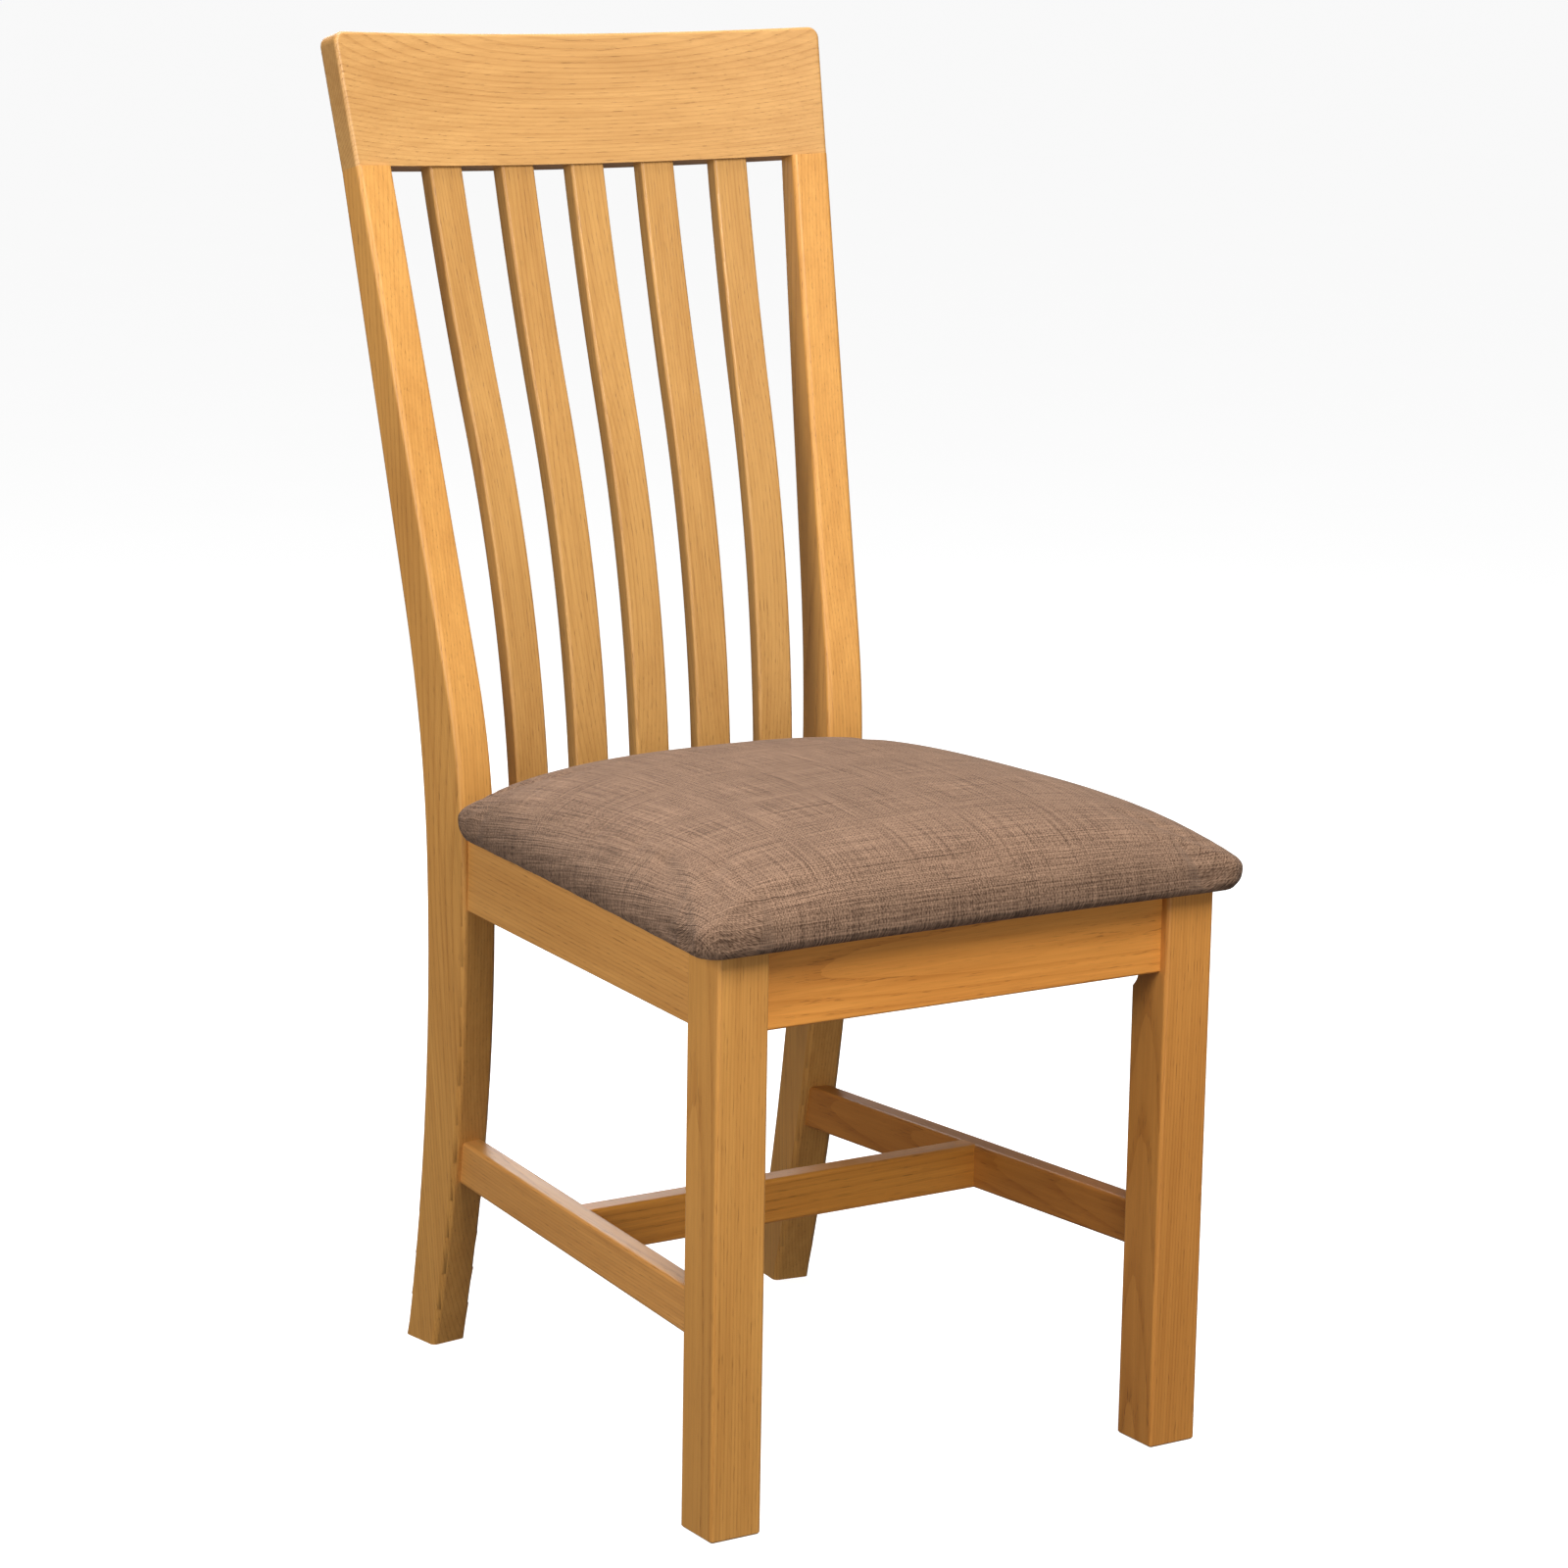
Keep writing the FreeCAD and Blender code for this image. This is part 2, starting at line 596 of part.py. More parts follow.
def slat_edge(offset, below):
    """The slat's edge that many millimetres behind its front line, as its two arcs."""
    def behind(rise):
        angle, point = slat_line(rise)
        return point + Vector(math.cos(angle), -math.sin(angle)) * offset
    joint, top = dim("slat_low_rise"), dim("slat_low_rise") + dim("slat_high_rise")
    return [Part.Arc(behind(-below), behind(joint / 2), behind(joint)),
            Part.Arc(behind(joint), behind((joint + top) / 2), behind(top))]


crest_rise = dim("crest_bottom") - dim("seat_rail_top")
slat_top_angle, slat_top = slat_line(crest_rise)


def slat_frame(low, high):
    """Placement of a slat from where its centre line meets the seat rail and the crest rail.

    It faces the chair's middle along the crest rail's curve, which already carries its top
    outwards as it bends back; the lean gives the rest of the fan.
    """
    turn = math.atan((low + high) / 2 / dim("crest_radius"))
    lean = math.atan((high - low - slat_top.x * math.sin(turn)) / crest_rise)
    setback = low**2 / (2 * dim("crest_radius"))
    return Placement(at(low, dim("slat_front") - setback, dim("seat_rail_top")),
                     Rotation(Z_AXIS, -math.degrees(turn)).multiply(Rotation(Y_AXIS, math.degrees(lean))))


def slat(name, low, high, crest_space, rail_space):
    """A curved lath with a stub tenon at each end, and the two mortise cutters."""
    frame = slat_frame(low, high)
    body = new_body(name + "_body", moved(frame, -dim("slat_width") / 2))
    sketch = new_sketch(body, name + "_side", "YZ_Plane")
    outline(sketch, slat_edge(0.0, 10.0), slat_edge(dim("slat_thick"), 10.0))
    lath = pad(body, sketch, "dims.slat_width")

    def long_edge(edge):
        return edge.BoundBox.ZLength > 100
    ease(body, lath, "slat_easing", long_edge)
    trimmed = cut(name + "_trimmed", body, [crest_space, rail_space])

    width, thick, length = (dim("slat_tenon_width"), dim("slat_tenon_thick"), dim("slat_tenon_length"))
    gap = dim("glue_gap")
    inset = (dim("slat_thick") - thick) / 2
    low_end = frame.multiply(Placement(Vector(), Rotation(X_AXIS, -dim("slat_low_angle"))))
    high_end = frame.multiply(Placement(Vector(0, slat_top.x, slat_top.y),
                                        Rotation(X_AXIS, -math.degrees(slat_top_angle))))
    tenons, holes = [], []
    for end, place, start, hole_start in (("low", low_end, -length, -length - 1),
                                          ("high", high_end, -ROOTED, -ROOTED)):
        tenons.append(box(f"{name}_{end}_tenon", place, (-width / 2, inset, start),
                          ("dims.slat_tenon_width", "dims.slat_tenon_thick", length + ROOTED)))
        holes.append(box(f"{name}_{end}_mortise", place, (-width / 2 - gap, inset - gap, hole_start),
                         (width + 2 * gap, thick + 2 * gap, length + ROOTED + 1)))
    return fuse(name + "_solid", [trimmed] + tenons), holes


def crest_blank(leg_plane):
    """Curved plank set at the rake, its ends flush with the back legs' outer faces."""
    radius, thick = dim("crest_radius"), dim("crest_thick")
    reach = 250.0

    def arc(offset):
        """Front face line, or the line that many millimetres behind it, from left to right."""
        ends = [Vector(x, offset - x**2 / (2 * radius)) for x in (-reach, 0, reach)]
        return Part.Arc(*ends)
    front, rear = arc(0.0), arc(thick)
    body = new_body("crest_body", crest_frame)
    sketch = new_sketch(body, "crest_plan", "XY_Plane")
    outline(sketch, [front], [rear])
    pad(body, sketch, "dims.crest_height")
    ends = cut("crest_plank", body, [leg_plane, mirror("leg_plane_left", leg_plane)])
    doc.recompute()
    up = crest_frame.Rotation.multVec(Z_AXIS)
    back = crest_frame.Rotation.multVec(Y_AXIS)
    top = max(vertex.Point.dot(up) for vertex in ends.Shape.Vertexes)

    def is_top(edge):
        return all(abs(vertex.Point.dot(up) - top) < 0.01 for vertex in edge.Vertexes)

    def short_top(edge):
        return is_top(edge) and edge.Length < 60
    rounded = round_edges("crest_corners", ends, "crest_corner", short_top)

    def eased(edge):
        """All long edges but those of the underside and of the corner roundings' ends."""
        heights = [vertex.Point.dot(up) for vertex in edge.Vertexes]
        across = abs((edge.Vertexes[-1].Point - edge.Vertexes[0].Point).dot(back)) > 0.9 * thick
        return max(heights) > top - dim("crest_height") + 1 and not across
    return round_edges("crest_eased", rounded, "crest_easing", eased)


def build_back(frame_parts):
    crest_space = box("above_crest_underside", crest_frame, (-400, -100, 0), (800, 200, 300))
    rail_space = box("below_rail_top", Placement(), (-400, 0, dim("seat_rail_top") - 50), (800, 400, 50))
    leg_plane = box("outside_back_leg", back_leg_frame, (0, -100, 800), (80, 500, 400))
    crest_holes, rail_holes = [], []
    positions = {"slat_3": (0.0, 0.0),
                 "slat_4": (dim("inner_slat_low"), dim("inner_slat_high")),
                 "slat_5": (dim("outer_slat_low"), dim("outer_slat_high"))}
    for node, (low, high) in positions.items():
        solid, holes = slat(node, low, high, crest_space, rail_space)
        keep(node, solid)
        rail_holes.append(holes[0])
        crest_holes.append(holes[1])
        if low:
            left = {"slat_4": "slat_2", "slat_5": "slat_1"}[node]
            keep(left, mirror(left + "_mirrored", solid))
            rail_holes.append(mirror(left + "_low_mortise", holes[0]))
            crest_holes.append(mirror(left + "_high_mortise", holes[1]))

    # two dowels stand in each back leg's top and hold the crest rail
    dowels, dowel_holes = [], []
    thick, length = dim("back_leg_thick"), dim("dowel_length")
    head = dim("crest_bottom")
    depth = sum(edge[-1].EndPoint.x for edge in back_leg_edges(-20.0, head)) / 2
    for index, across in enumerate((0.3, 0.7)):
        centre = back_leg_frame.multVec(Vector(-thick * across, depth, head))
        local = crest_frame.inverse().multVec(centre)
        place = crest_frame.multiply(Placement(Vector(local.x, local.y, -length / 2), Rotation()))
        dowels.append(cylinder(f"dowel_{index}", place, "dims.dowel_radius", "dims.dowel_length"))
        dowel_holes.append(cylinder(f"dowel_hole_{index}", moved(place, 0, 0, -1),
                                    "dims.dowel_radius + 0.05", "dims.dowel_length + 2"))
    right = group("dowels_right", dowels)
    keep("crest_dowels", group("dowels_all", [right, mirror("dowels_left", right)]))
    holes = group("dowel_holes_right", dowel_holes)
    blank = crest_blank(leg_plane)
    keep("crest_rail", cut("crest_solid", blank, crest_holes + [holes, mirror("dowel_holes_left", holes)]))
    frame_parts["rear_rail"] = cut("rear_rail_mortised", frame_parts["rear_rail"], rail_holes)
    frame_parts["back_leg_holes"] += dowel_holes


# ---------------------------------------------------------------- corner blocks and screws


def meet(point, direction, other, other_direction):
    """Where two lines in plan cross."""
    gap = other - point
    cross = direction.x * other_direction.y - direction.y * other_direction.x
    return point + direction * ((gap.x * other_direction.y - gap.y * other_direction.x) / cross)


def screw(name, frame, length):
    """Pan-head screw along local Z: its head's underside is at the frame's origin."""
    shank = cylinder(name + "_shank", frame, "dims.screw_radius", length)
    head = cylinder(name + "_head", moved(frame, 0, 0, -dim("screw_head_height")),
                    "dims.screw_head_radius", "dims.screw_head_height")
    solid = fuse(name, [shank, head])
    space = fuse(name + "_space", [
        cylinder(name + "_pilot", frame, "dims.screw_radius + 0.05", f"{length} + 1"),
        cylinder(name + "_bore", moved(frame, 0, 0, -30), "dims.screw_head_radius + 0.6", "30")])
    return solid, space


def corner_block(name, depth, corner, rail_line, side_line, inwards, seat_screw_at=None):
    """A block across an inner corner of the seat frame, with two rail screws and a seat screw.

    The corner is where the block's outer face passes. The two lines are the rails' inner faces,
    each a point and a direction. The seat screw stands in the block's middle unless it is placed.
    """
    across = Vector(-inwards.y, inwards.x, 0)
    inner = corner + inwards * depth
    points = [meet(corner, across, *rail_line), meet(corner, across, *side_line),
              meet(inner, across, *side_line), meet(inner, across, *rail_line)]
    bottom = dim("seat_rail_top") - dim("corner_block_height")
    body = new_body(name + "_body", Placement(Vector(0, 0, bottom), Rotation()))
    sketch = new_sketch(body, name + "_plan", "XY_Plane")
    polygon(sketch, points)
    pad(body, sketch, "dims.corner_block_height")

    mid_height = bottom + dim("corner_block_height") / 2
    screws, spaces = [], []
    for tag, low, high in (("rail", points[0], points[3]), ("side", points[1], points[2])):
        face_middle = (low + high) * 0.5
        outwards = Rotation(Z_AXIS, 90).multVec(high - low).normalize()
        if outwards.dot(inwards) > 0:
            outwards = outwards * -1
        head = face_middle - outwards * dim("screw_seat_depth")
        head.z = mid_height
        frame = Placement(head, Rotation(Z_AXIS, outwards))
        solid, space = screw(f"{name}_{tag}_screw", frame, "dims.block_screw_length")
        screws.append(solid)
        spaces.append(space)
    foot = seat_screw_at or (points[0] + points[1] + points[2] + points[3]) * 0.25
    foot.z = dim("seat_rail_top") + dim("seat_screw_bite") - dim("seat_screw_length")
    seat_screw, seat_space = screw(name + "_seat_screw", Placement(foot, Rotation()),
                                   "dims.seat_screw_length")
    block = cut(name + "_solid", body, [fuse(name + "_spaces", spaces + [seat_space])])
    return block, screws, spaces, seat_screw, seat_space


def build_corners(parts):
    side_inner = side_rail_frame.multVec(Vector(0, dim("side_rail_thick"), 0))
    side_inner.z = 0
    side_heading = side_rail_frame.Rotation.multVec(X_AXIS)
    front_inner = at(0, dim("front_rail_recess") + dim("front_rail_thick"), 0)
    rear_inner = at(0, dim("rear_rail_front"), 0)
    leg_corner = at(half_width - dim("leg_section"), dim("leg_section"), 0)
    front_inwards = Vector(-1, 1, 0).normalize()
    rear_inwards = Vector(-1, -1, 0).normalize()
    back_corner = back_leg_frame.multVec(Vector(-dim("back_leg_thick"), 0, dim("seat_rail_top")))
    back_corner.z = 0
    clear = dim("block_clearance")
    side_line = (side_inner, side_heading)
    front = corner_block("front_block", dim("front_block_depth"),
                         leg_corner - front_inwards * (dim("corner_flat") - clear),
                         (front_inner, X_AXIS), side_line, front_inwards)
    rear = corner_block("rear_block", dim("rear_block_depth"), back_corner + rear_inwards * clear,
                        (rear_inner, X_AXIS), side_line, rear_inwards,
                        at(dim("rear_seat_screw_inset"), dim("rear_seat_screw_set"), 0))
    keep("corner_block_front_right", front[0])
    keep("corner_block_front_left", mirror("front_block_mirrored", front[0]))
    keep("corner_block_rear_right", rear[0])
    keep("corner_block_rear_left", mirror("rear_block_mirrored", rear[0]))
    right_screws = group("block_screws_right", front[1] + rear[1])
    left_screws = mirror("block_screws_left", right_screws)
    keep("corner_block_screws", group("block_screws_all", [right_screws, left_screws]))
    seat_right = group("seat_screws_right", [front[3], rear[3]])
    keep("seat_fixing_screws", group("seat_screws_all", [seat_right, mirror("seat_screws_left", seat_right)]))
    seat_spaces = group("seat_spaces_right", [front[4], rear[4]])

    front_screw_space, side_front_space = front[2]
    rear_screw_space, side_rear_space = rear[2]
    keep("front_seat_rail", cut("front_rail_drilled", parts["front_rail"],
                                [front_screw_space, mirror("front_pilot_left", front_screw_space)]))
    keep("rear_seat_rail", cut("rear_rail_drilled", parts["rear_rail"],
                               [rear_screw_space, mirror("rear_pilot_left", rear_screw_space)]))
    side = cut("side_rail_drilled", parts["side_rail"], [side_front_space, side_rear_space])
    keep("side_seat_rail_right", side)
    keep("side_seat_rail_left", mirror("side_rail_mirrored", side))
    front_leg = cut("front_leg_solid", parts["front_blank"],
                    [fuse("front_leg_joints", parts["front_leg_holes"])])
    back_leg = cut("back_leg_solid", parts["back_blank"],
                   [fuse("back_leg_joints", parts["back_leg_holes"])])
    keep("front_leg_right", front_leg)
    keep("front_leg_left", mirror("front_leg_mirrored", front_leg))
    keep("back_leg_right", back_leg)
    keep("back_leg_left", mirror("back_leg_mirrored", back_leg))
    return seat_spaces


# ---------------------------------------------------------------- seat


def build_seat(seat_spaces):
    base = dim("seat_rail_top")
    lining_top = base + dim("lining_thick")
    board_bottom = lining_top + dim("cover_thick")
    spaces = [seat_spaces, mirror("seat_spaces_left", seat_spaces)]
    board = slab("board_plate", dim("board_inset"), board_bottom, "dims.board_thick")
    keep("seat_board", cut("board_solid", board, spaces))

    outer = crowned("cover_outer", 0.0, lining_top, dim("pad_edge_rounding"))
    inner = crowned("cover_inner", dim("cover_thick"), board_bottom, dim("pad_edge_rounding") - 1)
    opening = slab("hem_opening", dim("board_inset") + dim("hem_width"), lining_top - 5, "20")
    keep("seat_cover", cut("cover_solid", outer, [fuse("cover_space", [inner, opening])] + spaces))
    under = box("under_foam", Placement(), (-400, -600, board_bottom - 40),
                (800, 1200, 40 + dim("board_thick")))
    keep("seat_foam", cut("foam_solid", inner, [under]))
    lining = slab("lining_plate", dim("lining_inset"), base, "dims.lining_thick")
    keep("dust_cover", cut("lining_solid", lining, spaces))


parts = build_frame()
build_back(parts)
seat_spaces = build_corners(parts)
build_seat(seat_spaces)
doc.recompute()

# ---------------------------------------------------------------- check and export

for item in doc.Objects:
    if "Invalid" in item.State or "Error" in item.State:
        raise RuntimeError(f"{item.Name} failed: {item.State}")
box_all = FreeCAD.BoundBox()
for node, item in pieces.items():
    if item.Shape.isNull() or not item.Shape.isValid():
        raise RuntimeError(f"{node} has no valid shape")
    box_all.add(item.Shape.optimalBoundingBox(False))

os.makedirs("parts", exist_ok=True)
for node, item in pieces.items():
    item.Shape.exportStep(f"parts/{node}.step")
    print(f"{node}: {len(item.Shape.Solids)} solids, {item.Shape.Volume / 1000:.1f} cm3")
print(f"X {box_all.XMin:.2f} {box_all.XMax:.2f}  Y {box_all.YMin:.2f} {box_all.YMax:.2f}"
      f"  Z {box_all.ZMin:.2f} {box_all.ZMax:.2f}")
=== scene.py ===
"""Looks of the slat-back dining chair: lacquered oak, a linen-look seat pad, a studio and a camera.

Metres throughout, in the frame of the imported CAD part: Z up, X to the right as seen from the
front, Y from the front to the back.
"""

import math
import random

import bpy
import bmesh
import numpy as np
from mathutils import Matrix, Vector


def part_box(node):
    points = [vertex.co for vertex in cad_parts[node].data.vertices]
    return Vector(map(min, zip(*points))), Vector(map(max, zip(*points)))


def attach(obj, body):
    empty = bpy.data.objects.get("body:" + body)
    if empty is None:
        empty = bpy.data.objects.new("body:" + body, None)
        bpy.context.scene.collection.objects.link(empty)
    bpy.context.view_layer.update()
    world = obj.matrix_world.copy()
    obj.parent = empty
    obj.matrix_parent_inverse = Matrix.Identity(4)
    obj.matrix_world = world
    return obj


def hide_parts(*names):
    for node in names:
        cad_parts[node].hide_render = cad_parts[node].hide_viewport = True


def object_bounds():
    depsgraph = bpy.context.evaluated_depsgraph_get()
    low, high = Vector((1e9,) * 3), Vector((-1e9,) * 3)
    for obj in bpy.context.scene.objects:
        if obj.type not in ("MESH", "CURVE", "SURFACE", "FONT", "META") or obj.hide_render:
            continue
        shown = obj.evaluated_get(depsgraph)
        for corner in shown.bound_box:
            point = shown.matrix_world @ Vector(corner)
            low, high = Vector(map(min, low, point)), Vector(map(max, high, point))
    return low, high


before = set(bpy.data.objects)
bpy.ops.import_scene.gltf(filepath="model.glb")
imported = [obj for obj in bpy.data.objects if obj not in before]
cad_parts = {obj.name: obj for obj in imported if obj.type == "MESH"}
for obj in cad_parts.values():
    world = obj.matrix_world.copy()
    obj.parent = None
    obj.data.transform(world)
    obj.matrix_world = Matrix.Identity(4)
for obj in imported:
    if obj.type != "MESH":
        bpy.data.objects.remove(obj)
cad_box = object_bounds()
MM = 0.001
UP = Vector((0, 0, 1))


# ------------------------------------------------------------------ material graphs


class Graph:
    """One material's node tree. A value is a number, a colour or another node's output."""

    def __init__(self, name, **surface):
        self.material = bpy.data.materials.new(name)
        self.material.use_nodes = True
        self.tree = self.material.node_tree
        self.shader = self.tree.nodes["Principled BSDF"]
        for socket, value in surface.items():
            self.shader.inputs[socket.replace("_", " ")].default_value = value

    def feed(self, socket, value):
        if isinstance(value, bpy.types.NodeSocket):
            self.tree.links.new(value, socket)
        else:
            socket.default_value = value

    def node(self, kind, inputs=None, **settings):
        node = self.tree.nodes.new("ShaderNode" + kind)
        for key, value in settings.items():
            setattr(node, key, value)
        for key, value in (inputs or {}).items():
            self.feed(node.inputs[key], value)
        return node

    def math(self, operation, a, b=0.0, clamp=False):
        node = self.node("Math", {0: a, 1: b}, operation=operation, use_clamp=clamp)
        return node.outputs[0]

    def place(self, vector, scale=(1, 1, 1), turn=(0, 0, 0), move=(0, 0, 0)):
        node = self.node("Mapping", {"Vector": vector, "Scale": scale, "Rotation": turn, "Location": move})
        return node.outputs[0]

    def shift(self, vector, offset):
        node = self.node("VectorMath", {0: vector, 1: offset}, operation="ADD")
        return node.outputs[0]

    def noise(self, vector, scale, detail=2.0, roughness=0.5):
        node = self.node("TexNoise", {"Vector": vector, "Scale": scale, "Detail": detail,
                                      "Roughness": roughness})
        return node.outputs["Fac"]

    def remap(self, value, low, high, to_low=0.0, to_high=1.0, smooth=True):
        node = self.node("MapRange", {"Value": value, "From Min": low, "From Max": high,
                                      "To Min": to_low, "To Max": to_high},
                         interpolation_type="SMOOTHSTEP" if smooth else "LINEAR")
        return node.outputs["Result"]

    def blend(self, factor, a, b, mode="MIX"):
        """Two colours mixed. The node's colour sockets share their names, so they go by number."""
        colours = {0: factor, 6: a, 7: b}
        node = self.node("Mix", data_type="RGBA", blend_type=mode)
        for number, value in colours.items():
            self.feed(node.inputs[number], value)
        return node.outputs[2]

    def scaled(self, colour, factor):
        """A colour times a brightness factor."""
        node = self.node("CombineColor", {"Red": factor, "Green": factor, "Blue": factor})
        return self.blend(1.0, colour, node.outputs["Color"], "MULTIPLY")

    def bump(self, height, distance, strength=1.0):
        node = self.node("Bump", {"Height": height, "Distance": distance, "Strength": strength})
        self.feed(self.shader.inputs["Normal"], node.outputs["Normal"])

    def colour(self, value):
        self.feed(self.shader.inputs["Base Color"], value)

    def roughness(self, value):
        self.feed(self.shader.inputs["Roughness"], value)


def rgb(red, green, blue):
    return (red, green, blue, 1.0)


# ------------------------------------------------------------------ wood


def timber(name, node, grain, seed, light, dark, ring_gap=2.8 * MM, pores=1.0, **surface):
    """Solid timber for one CAD node, its grain running along a direction in the frame.

    Growth rings are cylinders round an axis beside the piece, nearly along the grain; short
    dark pores follow the start of each ring, and fine fibres and slow patches vary the tone.
    """
    chance = random.Random(seed)
    low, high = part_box(node)
    centre = (Vector(low) + Vector(high)) / 2
    turn = Vector(grain).rotation_difference(UP)
    heart_distance = chance.uniform(0.07, 0.13)
    heart_angle = chance.uniform(0, 2 * math.pi)
    heart = Vector((math.cos(heart_angle), math.sin(heart_angle), 0)) * heart_distance
    heart.z = chance.uniform(-1, 1)
    graph = Graph(name, **surface)
    point = graph.node("TexCoord").outputs["Object"]
    along = graph.place(point, turn=turn.to_euler(), move=heart - turn @ centre)
    tilt = (chance.uniform(-0.02, 0.02), chance.uniform(-0.02, 0.02), 0)
    tilted = graph.place(along, turn=tilt)

    sway = graph.noise(graph.place(tilted, scale=(9, 9, 1.6)), 1.0, detail=2.0)
    drift = 3 * MM
    offset = graph.node("CombineXYZ", {"X": graph.remap(sway, 0.25, 0.75, -drift, drift, smooth=False),
                                       "Y": graph.remap(sway, 0.25, 0.75, drift, -drift, smooth=False)})
    swayed = graph.shift(tilted, offset.outputs[0])
    waves_per_metre = 20 / (2 * math.pi)  # of the wave texture at a scale of 1
    rings = graph.node("TexWave", {"Vector": graph.place(swayed, scale=(1, 1, 0.05)),
                                   "Scale": 1 / (waves_per_metre * ring_gap), "Distortion": 1.6,
                                   "Detail": 3.0, "Detail Scale": 0.5, "Detail Roughness": 0.6},
                       wave_type="RINGS", rings_direction="Z", wave_profile="SAW").outputs["Fac"]
    early = graph.remap(rings, 0.0, 0.45, 1.0, 0.0)

    fibre = graph.noise(graph.place(along, scale=(1, 1, 0.018)), 820.0, detail=5.0, roughness=0.65)
    streak = graph.noise(graph.place(along, scale=(1, 1, 0.03)), 210.0, detail=3.0)
    patch = graph.noise(graph.place(along, scale=(1, 1, 0.22)), 16.0, detail=2.0)
    dashes = graph.noise(graph.place(along, scale=(1, 1, 0.055)), 1300.0, detail=1.0)
    pore = graph.math("MULTIPLY", graph.remap(dashes, 0.60, 0.70),
                      graph.remap(early, 0.0, 1.0, 0.25, 1.0, smooth=False))

    shade = graph.math("ADD", graph.math("MULTIPLY", early, 0.28),
                       graph.remap(streak, 0.3, 0.7, 0.0, 0.30, smooth=False))
    shade = graph.math("ADD", shade, graph.remap(patch, 0.35, 0.65, -0.08, 0.16, smooth=False), clamp=True)
    colour = graph.blend(shade, light, dark)
    tone = graph.remap(fibre, 0.3, 0.7, 0.93, 1.05, smooth=False)
    colour = graph.scaled(colour, tone)
    colour = graph.blend(graph.math("MULTIPLY", pore, 0.55 * pores), colour,
                         tuple(0.42 * value for value in dark[:3]) + (1.0,))
    graph.colour(colour)
    graph.roughness(graph.remap(fibre, 0.3, 0.7, 0.36, 0.46, smooth=False))
    height = graph.math("SUBTRACT", graph.math("MULTIPLY", fibre, 0.25), pore)
    graph.bump(height, 0.12 * MM, 0.6)
    return graph.material


def dress(node, material):
    """Give a CAD node one material."""
    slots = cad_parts[node].data.materials
    slots.clear()
    slots.append(material)


OAK_LIGHT = rgb(0.565, 0.300, 0.086)
OAK_DARK = rgb(0.33, 0.140, 0.030)
OAK_FINISH = {"Coat_Weight": 0.08, "Coat_Roughness": 0.3, "Specular_IOR_Level": 0.3}

side_rail_grain = {side: Vector((sign * -0.0777, 1, 0)) for side, sign in (("right", 1), ("left", -1))}
OAK_GRAIN = {
    "crest_rail": (1, 0, 0), "front_seat_rail": (1, 0, 0.004), "rear_seat_rail": (1, 0, 0),
    "cross_stretcher": (1, 0, 0.006),
    "front_leg_left": (0, 0, 1), "front_leg_right": (0.004, 0, 1),
    "back_leg_left": (-0.02, 0.08, 1), "back_leg_right": (0.02, 0.08, 1),
    "side_seat_rail_left": side_rail_grain["left"], "side_seat_rail_right": side_rail_grain["right"],
    "side_stretcher_left": side_rail_grain["left"], "side_stretcher_right": side_rail_grain["right"],
}
for index, spread in enumerate((-0.041, -0.017, 0.0, 0.017, 0.041), 1):
    OAK_GRAIN[f"slat_{index}"] = (spread, 0.22, 1)

# Each board's tone, as factors of the oak's red, green and blue. They were chosen by comparing
# renders with the photo, so they are partly the wood's own colour and partly painted light and shade:
# boards that lie in shade, such as the right stretcher and the right front leg, are painted darker,
# and the front rail and the cross stretcher are painted lighter.
BOARD_TONE_AND_PAINTED_LIGHT = {
    "crest_rail": (0.89, 0.91, 1.06),
    "back_leg": (1.04, 0.96, 0.84),
    "front_leg_left": (1.06, 0.96, 0.80),
    "front_leg_right": (1.02, 0.82, 0.60),
    "front_seat_rail": (1.24, 0.96, 0.64),
    "side_seat_rail": (1.17, 1.06, 0.95),
    "side_stretcher_left": (1.20, 1.08, 1.00),
    "side_stretcher_right": (0.80, 0.58, 0.36),
    "cross_stretcher": (1.30, 1.00, 0.56),
    "slat": (0.83, 0.82, 0.82),
}


def board_tone_and_painted_light(node):
    """The tone, with its painted light and shade, whose name the node's name starts with, or plain oak."""
    return next((tone for name, tone in BOARD_TONE_AND_PAINTED_LIGHT.items() if node.startswith(name)), (1, 1, 1))


def toned(colour, tone):
    """A colour with its red, green and blue scaled by a tone."""
    return rgb(*(value * factor for value, factor in zip(colour, tone)))


for index, (node, grain) in enumerate(OAK_GRAIN.items()):
    # Each board's oak colours carry its painted light and shade from the tone table.
    tone = board_tone_and_painted_light(node)
    light, dark = toned(OAK_LIGHT, tone), toned(OAK_DARK, tone)
    dress(node, timber(f"oak_{node}", node, grain, seed=40 + index, light=light, dark=dark,
                       **OAK_FINISH))

PINE = (rgb(0.62, 0.45, 0.26), rgb(0.48, 0.31, 0.15))
for corner in ("front_left", "front_right", "rear_left", "rear_right"):
    node = f"corner_block_{corner}"
    dress(node, timber(f"softwood_{corner}", node, (1, 1, 0), 70 + len(corner), *PINE, pores=0.3,
                       ring_gap=4.5 * MM))
dress("crest_dowels", timber("beech_dowels", "crest_dowels", (0, 0.25, 1), 90,
                             rgb(0.55, 0.38, 0.24), rgb(0.45, 0.29, 0.17), pores=0.2))
dress("seat_board", timber("plywood_board", "seat_board", (0, 1, 0), 91,
                           rgb(0.55, 0.41, 0.25), rgb(0.42, 0.28, 0.15), pores=0.4, ring_gap=6 * MM))


def screw_steel():
    """Zinc-plated steel with turning marks."""
    graph = Graph("zinc_screw", Metallic=1.0)
    point = graph.node("TexCoord").outputs["Object"]
    marks = graph.noise(point, 2600.0, detail=3.0)
    graph.colour(graph.blend(marks, rgb(0.55, 0.54, 0.50), rgb(0.70, 0.68, 0.62)))
    graph.roughness(graph.remap(marks, 0.3, 0.7, 0.28, 0.45))
    graph.bump(marks, 0.03 * MM)
    return graph.material


